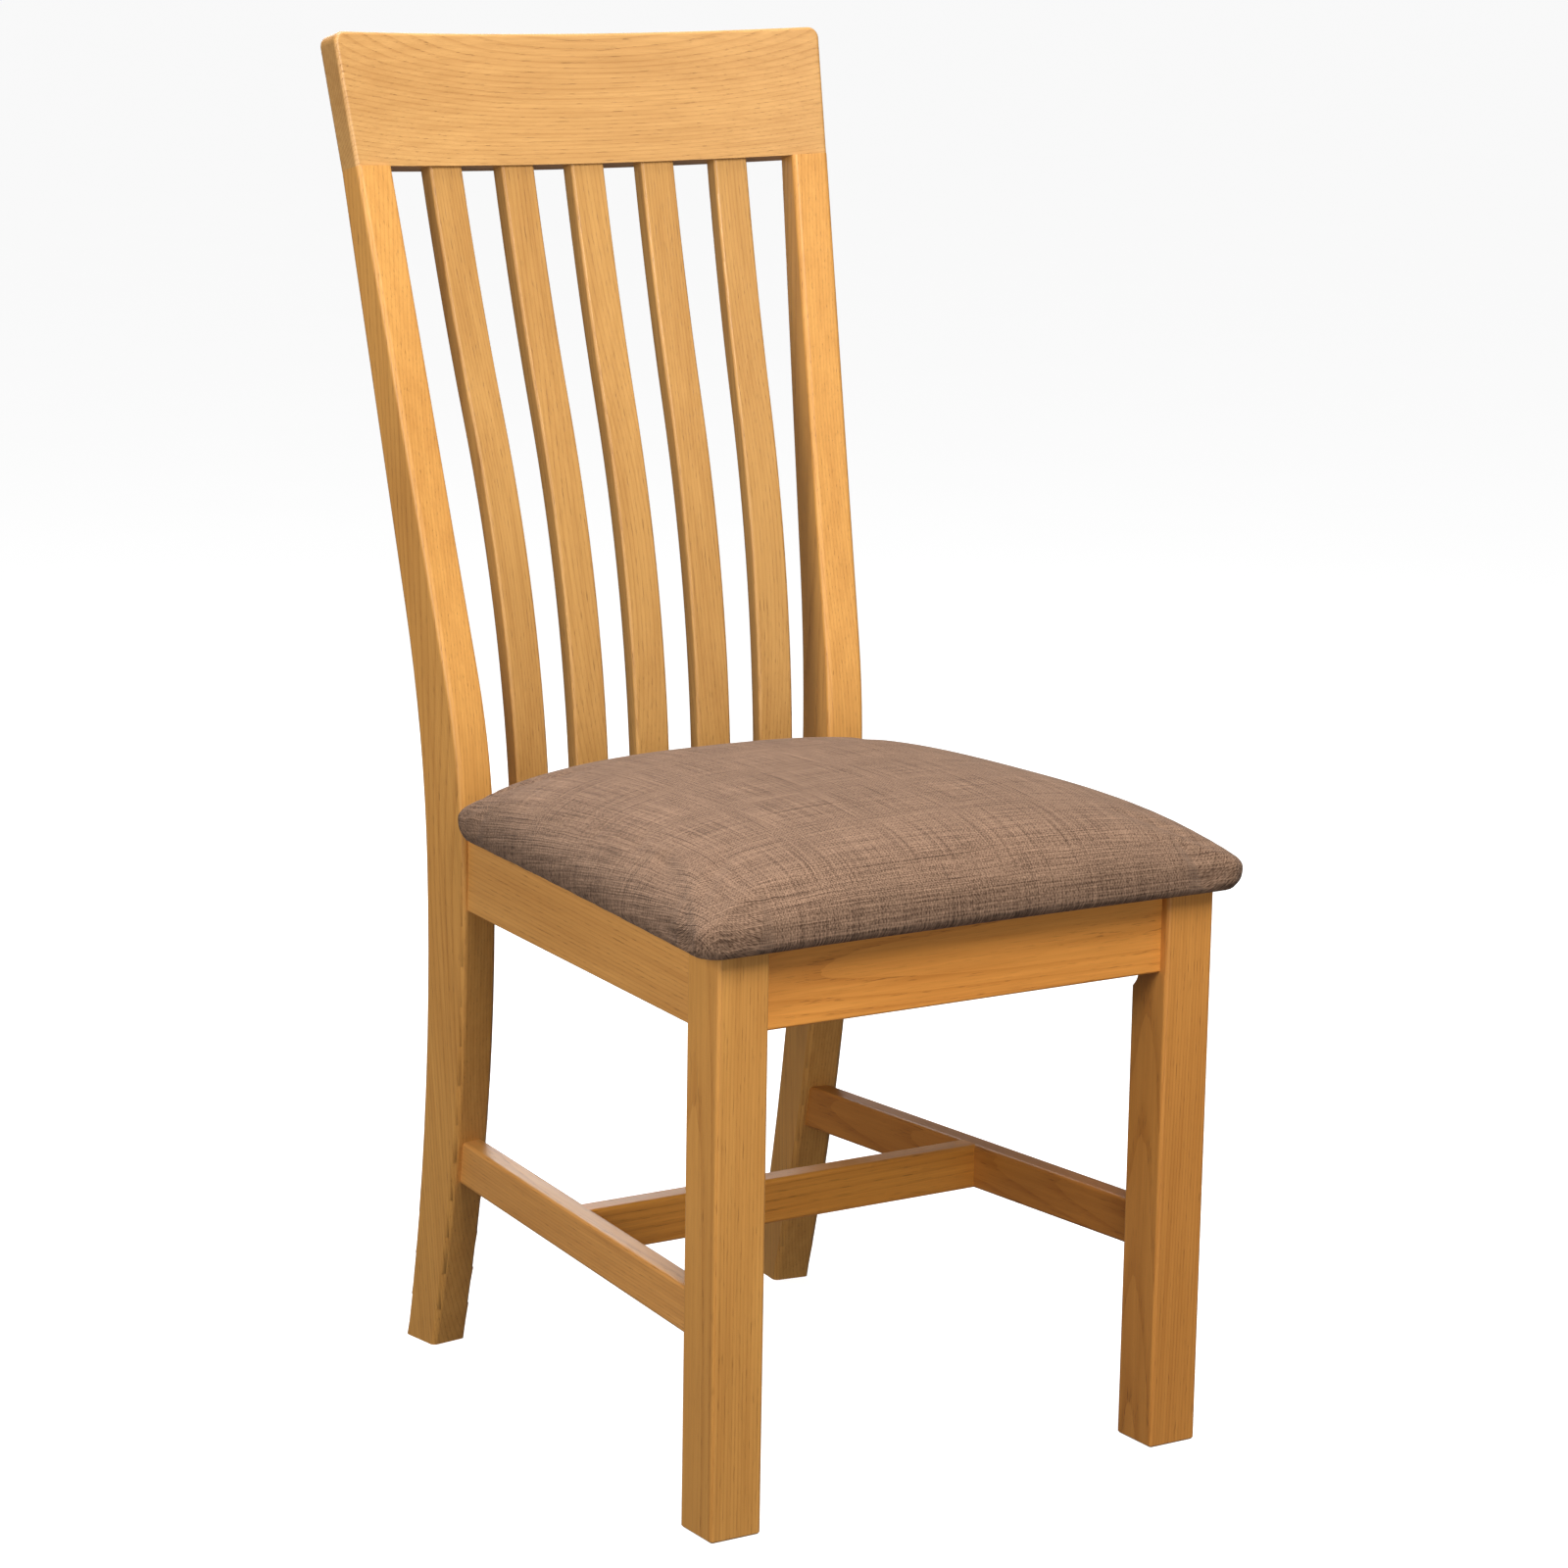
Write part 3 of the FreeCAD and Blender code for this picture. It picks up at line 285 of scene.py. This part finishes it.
def lining_cloth():
    """Black spunbonded lining: pressed dimples in a matt sheet."""
    graph = Graph("black_lining", Sheen_Weight=0.2)
    point = graph.node("TexCoord").outputs["Object"]
    dimples = graph.node("TexVoronoi", {"Vector": point, "Scale": 700.0}).outputs["Distance"]
    fluff = graph.noise(point, 900.0, detail=4.0)
    graph.colour(graph.blend(fluff, rgb(0.012, 0.012, 0.012), rgb(0.035, 0.034, 0.033)))
    graph.roughness(0.9)
    graph.bump(graph.math("ADD", dimples, graph.math("MULTIPLY", fluff, 0.4)), 0.15 * MM)
    return graph.material


steel = screw_steel()
for node in ("corner_block_screws", "seat_fixing_screws"):
    dress(node, steel)
dress("dust_cover", lining_cloth())


# ------------------------------------------------------------------ seat pad


cover_low, cover_high = (Vector(corner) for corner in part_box("seat_cover"))

# The pad in plan, its corners' radius, the heights of its underside, rim and crown, how far the
# edge rolls under, and the two exponents that shape the crown.
PAD = {
    "front": cover_low.y - 1.5 * MM, "rear": cover_high.y + 1.5 * MM,
    "front_half": 242 * MM, "rear_half": 198 * MM,
    "corner": 14 * MM,
    "base": cover_low.z + 0.2 * MM,
    "rim": 446 * MM, "crown": 504 * MM,
    "tuck": 10 * MM,
    "power": 2.7, "fullness": 0.40,
}
PAD_MIDDLE = (PAD["front"] + PAD["rear"]) / 2


def pad_half(y):
    """Half the pad's width at a distance from front to back."""
    share = (y - PAD["front"]) / (PAD["rear"] - PAD["front"])
    return PAD["front_half"] + share * (PAD["rear_half"] - PAD["front_half"])


def pad_top(x, y):
    """Height of the crowned top over a point inside the rim."""
    across = min(abs(x) / pad_half(y), 1.0)
    along = min(abs(y - PAD_MIDDLE) / (PAD["rear"] - PAD_MIDDLE), 1.0)
    fall = (1 - across**PAD["power"]) * (1 - along**PAD["power"])
    return PAD["rim"] + (PAD["crown"] - PAD["rim"]) * fall**PAD["fullness"]


def pad_outline(corner_steps=12, side_steps=40):
    """The rim in plan: a trapezium with rounded corners, as points in order."""
    corners = [Vector((side * pad_half(y), y)) for side, y in
               ((-1, PAD["front"]), (1, PAD["front"]), (1, PAD["rear"]), (-1, PAD["rear"]))]
    points = []
    for i, corner in enumerate(corners):
        before = (corners[i - 1] - corner).normalized()
        after = (corners[(i + 1) % 4] - corner).normalized()
        half_angle = before.angle(after) / 2
        centre = corner + (before + after).normalized() * PAD["corner"] / math.sin(half_angle)
        start = corner + before * PAD["corner"] / math.tan(half_angle) - centre
        sweep = math.pi - 2 * half_angle
        for step in range(corner_steps + 1):
            points.append(centre + Matrix.Rotation(sweep * step / corner_steps, 2) @ start)
        end, following = points[-1], corners[(i + 1) % 4]
        span = following - end
        for step in range(1, side_steps):
            points.append(end + span * step / side_steps * (1 - PAD["corner"] / span.length))
    return points


def add_object(name, mesh):
    """An object in the scene that shows a mesh."""
    piece = bpy.data.objects.new(name, mesh)
    bpy.context.scene.collection.objects.link(piece)
    return piece


def pad_form(top_rings=36, edge_rings=8):
    """The pad's closed form: crowned top, rolled edge and flat underside."""
    outline = pad_outline()
    centre = Vector((0, PAD_MIDDLE))
    mesh = bmesh.new()
    rings = []
    for step in range(1, top_rings + 1):
        share = math.sin(math.pi / 2 * step / top_rings)
        ring = []
        for point in outline:
            x, y = centre + (point - centre) * share
            ring.append(mesh.verts.new((x, y, pad_top(x, y))))
        rings.append(ring)
    for step in range(1, edge_rings + 1):
        angle = math.pi / 2 * step / edge_rings
        ring = []
        for point in outline:
            inwards = (centre - point).normalized()
            x, y = point + inwards * PAD["tuck"] * (1 - math.cos(angle))
            rim = pad_top(*point)
            ring.append(mesh.verts.new((x, y, rim - (rim - PAD["base"]) * math.sin(angle))))
        rings.append(ring)
    peak = mesh.verts.new((centre.x, centre.y, pad_top(*centre)))
    count = len(outline)
    for i in range(count):
        mesh.faces.new((peak, rings[0][i], rings[0][(i + 1) % count]))
    for inner, outer in zip(rings, rings[1:]):
        for i in range(count):
            j = (i + 1) % count
            mesh.faces.new((inner[i], outer[i], outer[j], inner[j]))
    mesh.faces.new(list(reversed(rings[-1])))
    bmesh.ops.recalc_face_normals(mesh, faces=mesh.faces)
    data = bpy.data.meshes.new("seat_pad")
    mesh.to_mesh(data)
    mesh.free()
    return add_object("seat_pad", data)


def apply_modifiers(piece):
    """Write the modifiers' result into the piece's mesh."""
    evaluated = piece.evaluated_get(bpy.context.evaluated_depsgraph_get())
    mesh = bpy.data.meshes.new_from_object(evaluated)
    piece.modifiers.clear()
    piece.data = mesh


def positions(mesh):
    """A mesh's vertices as an array of rows."""
    flat = np.empty(len(mesh.vertices) * 3, dtype=np.float32)
    mesh.vertices.foreach_get("co", flat)
    return flat.reshape(-1, 3).astype(float)


def set_positions(mesh, points):
    mesh.vertices.foreach_set("co", points.astype(np.float32).ravel())
    mesh.update()


def remesh(piece, size):
    """Rebuild a piece's surface as even quads of one size."""
    modifier = piece.modifiers.new("remesh", "REMESH")
    modifier.mode = "VOXEL"
    modifier.voxel_size = size
    modifier.use_smooth_shade = True
    apply_modifiers(piece)


def inflate(piece, pressure, cap, frames=20):
    """Stretch the cover over its filling: cloth under pressure, held at the underside.

    The simulation runs for a fixed number of frames, and no point moves further than the cap.
    """
    start = positions(piece.data)
    held = piece.vertex_groups.new(name="stapled")
    held_height = PAD["base"] + 1.5 * MM
    underside = np.flatnonzero(start[:, 2] < held_height)
    held.add([int(i) for i in underside], 1.0, "REPLACE")
    cloth = piece.modifiers.new("cloth", "CLOTH")
    settings = cloth.settings
    settings.quality = 6
    settings.mass = 0.3
    settings.tension_stiffness = settings.compression_stiffness = 25
    settings.shear_stiffness = 12
    settings.bending_stiffness = 2.0
    settings.vertex_group_mass = "stapled"
    settings.use_pressure = True
    settings.uniform_pressure_force = pressure
    settings.effector_weights.gravity = 0.0
    cloth.collision_settings.use_collision = False
    scene = bpy.context.scene
    for number in range(1, frames + 1):
        scene.frame_set(number)
    apply_modifiers(piece)
    scene.frame_set(1)
    moved = positions(piece.data) - start
    length = np.linalg.norm(moved, axis=1, keepdims=True)
    capped = cap * np.tanh(length / cap)
    set_positions(piece.data, start + moved * capped / np.maximum(length, 1e-9))


def corner_points():
    """The four corners of the rim, before they are rounded."""
    return [Vector((side * pad_half(y), y)) for side in (-1, 1) for y in (PAD["front"], PAD["rear"])]


def pleat(piece):
    """Small gathers where the cover is folded round each corner of the board.

    The folds fan out from a root inside each corner. Angles are measured round it.
    """
    root_inset = 38 * MM
    fold_top = PAD["rim"] + 14 * MM
    fade_height, fade_distance = 16 * MM, 12 * MM
    fold_depth = 1.5 * MM
    fold_gap, fold_width = 0.42, 0.055
    fan, fan_fade = 1.2, 1.3
    points = positions(piece.data)
    for corner in corner_points():
        inwards = Vector((-corner.x, PAD_MIDDLE - corner.y)).normalized()
        root = corner + inwards * root_inset
        away = points[:, :2] - np.array(root)
        distance = np.linalg.norm(away, axis=1)
        angle = np.arctan2(away[:, 0] * -inwards.y + away[:, 1] * inwards.x,
                           -(away[:, 0] * inwards.x + away[:, 1] * inwards.y))
        off_axis = np.abs(angle)
        low = np.clip((fold_top - points[:, 2]) / fade_height, 0, 1)
        clear = np.clip((distance - fade_distance) / fade_distance, 0, 1) * (off_axis < fan)
        folds = np.exp(-((off_axis % fold_gap - fold_gap / 2) / fold_width)**2)
        depth = fold_depth * low * clear * folds * (1 - off_axis / fan_fade).clip(0)
        points[:, :2] -= away / np.maximum(distance, 1e-6)[:, None] * depth[:, None]
    set_positions(piece.data, points)


def lay_weave(piece):
    """A UV map in metres of cloth: plan position, let out down the sides by the drop's length."""
    points = positions(piece.data)
    x, y, z = points.T
    reach = 60 * MM
    steepest = 3
    shoulder = PAD["rim"] + 0.55 * (PAD["crown"] - PAD["rim"])
    drop = np.maximum(shoulder - z, 0)

    def let_out(edge_distance):
        """Extra cloth at a distance from the edge, for the slope down to it."""
        run = np.clip(reach - edge_distance, 0, None)
        return np.where(run > 0, np.hypot(run, np.minimum(drop, run * steepest)) - run, 0)

    halves = np.array([pad_half(value) for value in y])
    u = x + np.sign(x) * let_out(halves - np.abs(x))
    v = y - let_out(y - PAD["front"]) + let_out(PAD["rear"] - y)
    layer = piece.data.uv_layers.new(name="weave")
    corners = np.empty(len(piece.data.loops), dtype=np.int32)
    piece.data.loops.foreach_get("vertex_index", corners)
    layer.data.foreach_set("uv", np.stack([u[corners], v[corners]], axis=1).astype(np.float32).ravel())


LINEN_LIGHT = rgb(0.283, 0.172, 0.110)
LINEN_DARK = rgb(0.060, 0.032, 0.019)


def linen(light, dark):
    """Linen-look upholstery: a plain weave whose yarns vary in tone, with dark raised slubs."""
    graph = Graph("linen_seat", Sheen_Weight=0.05, Sheen_Roughness=0.5, Specular_IOR_Level=0.1)
    cloth = graph.node("UVMap", uv_map="weave").outputs["UV"]
    waver = graph.noise(cloth, 30.0, detail=2.0)
    sway = graph.node("CombineXYZ", {"X": graph.math("MULTIPLY", waver, 1.2 * MM),
                                     "Y": graph.math("MULTIPLY", waver, -1.2 * MM)}).outputs[0]
    cloth = graph.shift(cloth, sway)
    axes = graph.node("SeparateXYZ", {"Vector": cloth}).outputs
    pitch = 1.25 * MM

    def yarn(axis, scale, seed):
        """Tone of the yarns that lie side by side along an axis: quick across them, slow along."""
        slow = scale * 0.015
        stretch = (scale, slow, 1) if axis == 0 else (slow, scale, 1)
        place = graph.place(cloth, scale=stretch, move=(seed, seed, 0))
        return graph.noise(place, 1.0, detail=3.0, roughness=0.7)

    warp = graph.remap(yarn(0, 900.0, 3.1), 0.36, 0.64, smooth=False)
    weft = graph.remap(yarn(1, 900.0, 7.7), 0.36, 0.64, smooth=False)
    slub_warp = graph.remap(yarn(0, 520.0, 11.0), 0.57, 0.70)
    slub_weft = graph.remap(yarn(1, 520.0, 17.0), 0.57, 0.70)
    ridge_u = graph.math("SINE", graph.math("MULTIPLY", axes[0], math.pi / pitch))
    ridge_v = graph.math("SINE", graph.math("MULTIPLY", axes[1], math.pi / pitch))
    over = graph.remap(graph.math("MULTIPLY", ridge_u, ridge_v), -0.5, 0.5, -0.12, 0.12)
    slubs = graph.math("ADD", slub_warp, slub_weft)
    tone = graph.math("MULTIPLY", graph.math("ADD", warp, weft), 0.5)
    tone = graph.math("ADD", tone, over)
    speck = graph.noise(cloth, 700.0, detail=1.0)
    tone = graph.math("ADD", tone, graph.remap(speck, 0.35, 0.65, -0.22, 0.22, smooth=False))
    tone = graph.math("ADD", tone, graph.math("MULTIPLY", slubs, 0.35), clamp=True)
    patch = graph.noise(cloth, 14.0, detail=2.0)
    colour = graph.blend(tone, light, dark)
    graph.colour(graph.scaled(colour, graph.remap(patch, 0.3, 0.7, 0.97, 1.03)))
    graph.roughness(0.92)
    height = graph.math("MULTIPLY", graph.math("ABSOLUTE", ridge_u), graph.math("ABSOLUTE", ridge_v))
    height = graph.math("ADD", height, graph.math("MULTIPLY", slubs, 0.5))
    graph.bump(height, 0.35 * MM, 0.7)
    return graph.material


seat_pad = pad_form()
remesh(seat_pad, 4.5 * MM)
inflate(seat_pad, pressure=4.0, cap=4 * MM)
smooth = seat_pad.modifiers.new("smooth", "SUBSURF")
smooth.levels = smooth.render_levels = 1
apply_modifiers(seat_pad)
pleat(seat_pad)
seat_pad.data.polygons.foreach_set("use_smooth", [True] * len(seat_pad.data.polygons))
lay_weave(seat_pad)
seat_pad.data.materials.append(linen(LINEN_LIGHT, LINEN_DARK))
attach(seat_pad, "root")
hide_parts("seat_cover", "seat_foam")


# ------------------------------------------------------------------ studio


def studio_floor():
    """A wide light table: it glows evenly and casts no bounce on the chair."""
    mesh = bpy.data.meshes.new("floor")
    reach = 60.0
    mesh.from_pydata([(-reach, -reach, 0), (reach, -reach, 0), (reach, reach, 0), (-reach, reach, 0)],
                     [], [(0, 1, 2, 3)])
    floor = add_object("floor", mesh)
    graph = Graph("pale_floor", Roughness=0.9, Specular_IOR_Level=0.1, Emission_Strength=0.88,
                  Emission_Color=rgb(1.0, 1.0, 1.0))
    point = graph.node("TexCoord").outputs["Object"]
    graph.colour(graph.blend(graph.noise(point, 3.0), rgb(0.46, 0.46, 0.46), rgb(0.50, 0.50, 0.50)))
    mesh.materials.append(graph.material)
    floor.visible_diffuse = floor.visible_glossy = False


def studio_world(strength):
    """Even white light from all round."""
    world = bpy.data.worlds.new("studio")
    world.use_nodes = True
    background = world.node_tree.nodes["Background"]
    background.inputs["Color"].default_value = rgb(1.0, 1.0, 1.0)
    background.inputs["Strength"].default_value = strength
    bpy.context.scene.world = world


def area_light(name, place, aim, size, power):
    """A round white softbox at a place, turned towards a point."""
    light = bpy.data.lights.new(name, "AREA")
    light.shape = "DISK"
    light.size = size
    light.energy = power
    lamp = bpy.data.objects.new(name, light)
    bpy.context.scene.collection.objects.link(lamp)
    lamp.location = place
    lamp.rotation_euler = (Vector(place) - Vector(aim)).to_track_quat("Z", "Y").to_euler()


def studio_camera(azimuth, pitch, roll, aim, distance, lens):
    """A camera that looks at a point from an azimuth and a height angle, slightly rolled."""
    azimuth, pitch, roll = (math.radians(angle) for angle in (azimuth, pitch, roll))
    back = Vector((math.sin(azimuth) * math.cos(pitch), -math.cos(azimuth) * math.cos(pitch),
                   math.sin(pitch)))
    right = Vector((math.cos(azimuth), math.sin(azimuth), 0))
    top = back.cross(right)
    level_right = math.cos(roll) * right + math.sin(roll) * top
    level_top = math.cos(roll) * top - math.sin(roll) * right
    data = bpy.data.cameras.new("camera")
    data.lens = lens
    data.sensor_width = 36.0
    data.clip_end = 100.0
    camera = bpy.data.objects.new("camera", data)
    bpy.context.scene.collection.objects.link(camera)
    turn = Matrix((level_right, level_top, back)).transposed().to_4x4()
    camera.matrix_world = Matrix.Translation(aim + back * distance) @ turn
    bpy.context.scene.camera = camera


studio_floor()
middle = (Vector(cad_box[0]) + Vector(cad_box[1])) / 2
area_light("key", (-0.25, -1.5, 2.25), middle, size=1.3, power=63)
area_light("side", (-1.5, -0.4, 0.85), middle - Vector((0, 0, 0.1)), size=1.0, power=16)
area_light("low_front", (-0.2, -2.9, 0.6), middle - Vector((0, 0, 0.2)), size=1.4, power=18)
area_light("top", (0.0, 0.4, 2.6), middle, size=1.2, power=48)
area_light("rear", (0.7, 2.4, 1.3), middle, size=1.6, power=24)
studio_world(strength=0.13)
bpy.context.scene.view_settings.view_transform = "Standard"
studio_camera(azimuth=-33.0, pitch=11.77, roll=0.97, aim=middle + Vector((0.131, 0.163, -0.085)),
              distance=3.6996, lens=103.92)
